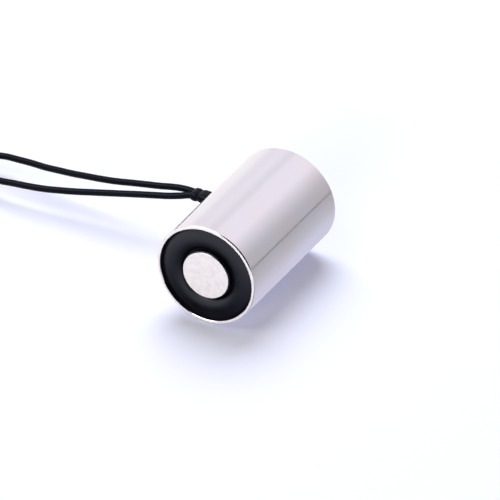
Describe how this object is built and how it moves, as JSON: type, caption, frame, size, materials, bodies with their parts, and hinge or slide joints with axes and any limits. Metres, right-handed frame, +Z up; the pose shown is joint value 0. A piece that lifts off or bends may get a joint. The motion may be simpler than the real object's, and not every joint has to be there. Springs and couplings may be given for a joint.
{
  "type": "holding electromagnet",
  "caption": "Cylindrical holding electromagnet: plated steel pot, flush centre pole, black resin ring in the pole face, tapped back and black leads from the side.",
  "frame": {"origin": "under the middle of the barrel, on the surface that it lies on", "axes": "+Y along the barrel's axis towards the back, +Z up, the leads leave towards -X"},
  "size_m": [0.1145, 0.0384, 0.025],
  "materials": {
    "nickel_plate": "polished nickel plate on steel",
    "ground_steel": "ground and plated",
    "potting_resin": "cast black resin, satin",
    "bobbin_nylon": "moulded",
    "enamelled_copper": "wound enamelled wire",
    "polyester_tape": "wrapped film tape",
    "grommet_rubber": "moulded, matte",
    "shrink_sleeve": "shrunk sleeve, satin",
    "lead_pvc": "extruded insulation, soft sheen",
    "tie_plastic": "moulded strip",
    "tinned_copper": "tinned strands"
  },
  "bodies": {
    "root": {"pot_shell": "nickel_plate", "pole_core": "ground_steel", "potting_ring": "potting_resin", "bobbin": "bobbin_nylon", "coil_winding": "enamelled_copper", "coil_tape": "polyester_tape", "lead_grommet": "grommet_rubber", "lead_sleeve": "shrink_sleeve", "splice_sleeve_a": "shrink_sleeve", "splice_sleeve_b": "shrink_sleeve", "lead_a": "lead_pvc", "lead_b": "lead_pvc", "lead_coil": "lead_pvc", "lead_tie": "tie_plastic", "lead_tip_a": "tinned_copper", "lead_tip_b": "tinned_copper"}
  },
  "joints": []
}
